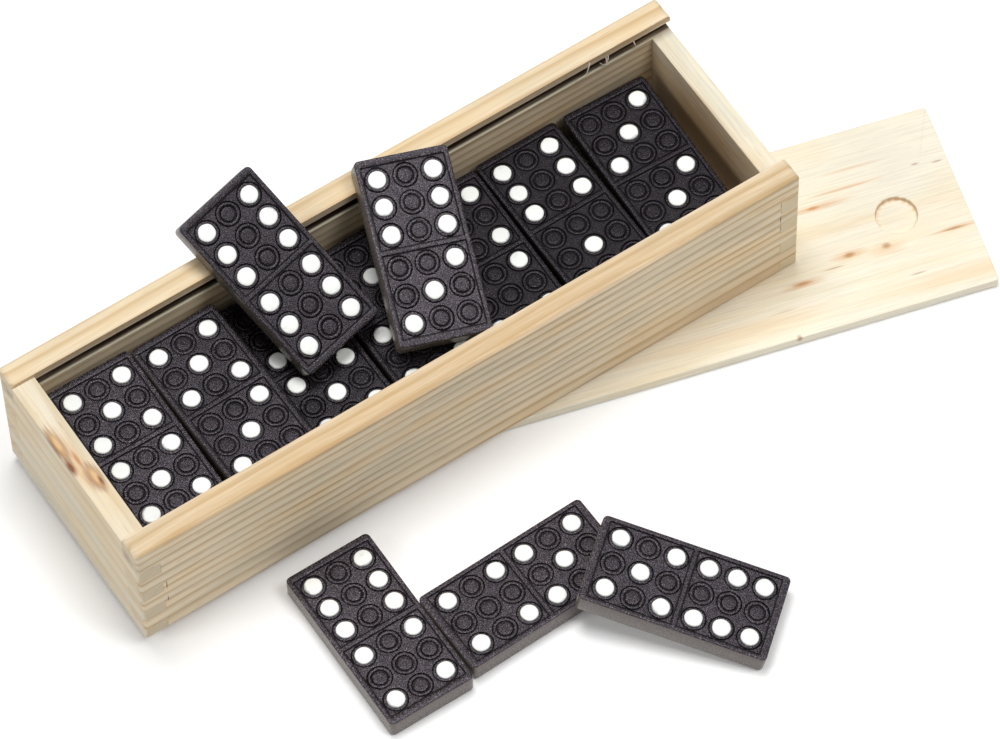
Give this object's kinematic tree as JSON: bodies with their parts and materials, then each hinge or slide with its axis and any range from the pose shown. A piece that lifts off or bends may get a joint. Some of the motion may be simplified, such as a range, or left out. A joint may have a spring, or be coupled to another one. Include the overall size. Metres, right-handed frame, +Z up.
{
  "type": "domino storage box",
  "caption": "Long finger-jointed wooden box lying on its drawn-out sliding lid, filled with stamped black dominoes with white pips, some leaning and some on the table.",
  "frame": {"origin": "on the table, under the middle of the box", "axes": "+X along the box towards its open end, +Y from front to back, +Z up from the table"},
  "size_m": [0.1914, 0.1272, 0.0451],
  "materials": {
    "side_pine": "sanded",
    "end_pine": "sanded",
    "lid_pine": "sanded",
    "black_tile": "stamped and stained black",
    "pip_enamel": "white enamel dots"
  },
  "bodies": {
    "box": {"front_wall": "side_pine", "back_wall": "side_pine", "closed_end_wall": "end_pine", "open_end_wall": "end_pine", "bottom_panel": "side_pine", "domino_2_2": "black_tile", "domino_0_6": "black_tile", "domino_3_4": "black_tile"},
    "lid": {"lid": "lid_pine"},
    "domino_0_0": {"domino_0_0": "black_tile"},
    "domino_1_2": {"domino_1_2": "black_tile"},
    "domino_0_5": {"domino_0_5": "black_tile"},
    "domino_5_5": {"domino_5_5": "black_tile"},
    "domino_1_1": {"domino_1_1": "black_tile"},
    "domino_0_3": {"domino_0_3": "black_tile"},
    "domino_2_4": {"domino_2_4": "black_tile"},
    "domino_5_3": {"domino_5_3": "black_tile"},
    "domino_0_1": {"domino_0_1": "black_tile"},
    "domino_1_5": {"domino_1_5": "black_tile"},
    "domino_2_5": {"domino_2_5": "black_tile"},
    "domino_6_6": {"domino_6_6": "black_tile"},
    "domino_0_2": {"domino_0_2": "black_tile"},
    "domino_2_6": {"domino_2_6": "black_tile"},
    "domino_4_4": {"domino_4_4": "black_tile"},
    "domino_6_3": {"domino_6_3": "black_tile"},
    "domino_1_3": {"domino_1_3": "black_tile"},
    "domino_0_4": {"domino_0_4": "black_tile"},
    "domino_6_1": {"domino_6_1": "black_tile"},
    "domino_1_4": {"domino_1_4": "black_tile"},
    "domino_2_3": {"domino_2_3": "black_tile"},
    "domino_3_3": {"domino_3_3": "black_tile"},
    "domino_6_4": {"domino_6_4": "black_tile"},
    "domino_4_5": {"domino_4_5": "black_tile"},
    "domino_5_6": {"domino_5_6": "black_tile"}
  },
  "joints": [
    {"name": "lid_slide", "type": "slide", "parent": "box", "child": "lid", "axis": [0.9655, -0.2603, 0], "range_m": [0, 0.144]},
    {"name": "domino_0_0_lift", "type": "slide", "parent": "box", "child": "domino_0_0", "axis": [0, 0, 1], "range_m": [0, 0.04]},
    {"name": "domino_1_2_lift", "type": "slide", "parent": "domino_0_0", "child": "domino_1_2", "axis": [0, 0, 1], "range_m": [0, 0.04]},
    {"name": "domino_0_5_lift", "type": "slide", "parent": "domino_1_2", "child": "domino_0_5", "axis": [0, 0, 1], "range_m": [0, 0.04]},
    {"name": "domino_5_5_lift", "type": "slide", "parent": "domino_0_5", "child": "domino_5_5", "axis": [0, 0, 1], "range_m": [0, 0.04]},
    {"name": "domino_1_1_lift", "type": "slide", "parent": "box", "child": "domino_1_1", "axis": [0, 0, 1], "range_m": [0, 0.04]},
    {"name": "domino_0_3_lift", "type": "slide", "parent": "domino_1_1", "child": "domino_0_3", "axis": [0, 0, 1], "range_m": [0, 0.04]},
    {"name": "domino_2_4_lift", "type": "slide", "parent": "domino_0_3", "child": "domino_2_4", "axis": [0, 0, 1], "range_m": [0, 0.04]},
    {"name": "domino_5_3_lift", "type": "slide", "parent": "domino_2_4", "child": "domino_5_3", "axis": [0, 0, 1], "range_m": [0, 0.04]},
    {"name": "domino_0_1_lift", "type": "slide", "parent": "box", "child": "domino_0_1", "axis": [0, 0, 1], "range_m": [0, 0.04]},
    {"name": "domino_1_5_lift", "type": "slide", "parent": "domino_0_1", "child": "domino_1_5", "axis": [0, 0, 1], "range_m": [0, 0.04]},
    {"name": "domino_2_5_lift", "type": "slide", "parent": "domino_1_5", "child": "domino_2_5", "axis": [0, 0, 1], "range_m": [0, 0.04]},
    {"name": "domino_6_6_lift", "type": "slide", "parent": "domino_2_5", "child": "domino_6_6", "axis": [0, 0, 1], "range_m": [0, 0.04]},
    {"name": "domino_0_2_lift", "type": "slide", "parent": "box", "child": "domino_0_2", "axis": [0, 0, 1], "range_m": [0, 0.04]},
    {"name": "domino_2_6_lift", "type": "slide", "parent": "domino_0_2", "child": "domino_2_6", "axis": [0, 0, 1], "range_m": [0, 0.04]},
    {"name": "domino_4_4_lift", "type": "slide", "parent": "domino_2_6", "child": "domino_4_4", "axis": [0, 0, 1], "range_m": [0, 0.04]},
    {"name": "domino_6_3_lift", "type": "slide", "parent": "domino_4_4", "child": "domino_6_3", "axis": [0, 0, 1], "range_m": [0, 0.04]},
    {"name": "domino_1_3_lift", "type": "slide", "parent": "box", "child": "domino_1_3", "axis": [0, 0, 1], "range_m": [0, 0.04]},
    {"name": "domino_0_4_lift", "type": "slide", "parent": "domino_1_3", "child": "domino_0_4", "axis": [0, 0, 1], "range_m": [0, 0.04]},
    {"name": "domino_6_1_lift", "type": "slide", "parent": "domino_0_4", "child": "domino_6_1", "axis": [0, 0, 1], "range_m": [0, 0.04]},
    {"name": "domino_1_4_lift", "type": "slide", "parent": "box", "child": "domino_1_4", "axis": [0, 0, 1], "range_m": [0, 0.04]},
    {"name": "domino_2_3_lift", "type": "slide", "parent": "domino_1_4", "child": "domino_2_3", "axis": [0, 0, 1], "range_m": [0, 0.04]},
    {"name": "domino_3_3_lift", "type": "slide", "parent": "domino_2_3", "child": "domino_3_3", "axis": [0, 0, 1], "range_m": [0, 0.04]},
    {"name": "domino_6_4_lift", "type": "slide", "parent": "box", "child": "domino_6_4", "axis": [0, 0, 1], "range_m": [0, 0.04]},
    {"name": "domino_4_5_lift", "type": "slide", "parent": "box", "child": "domino_4_5", "axis": [0, 0, 1], "range_m": [0, 0.04]},
    {"name": "domino_5_6_lift", "type": "slide", "parent": "domino_4_5", "child": "domino_5_6", "axis": [0, 0, 1], "range_m": [0, 0.04]}
  ]
}
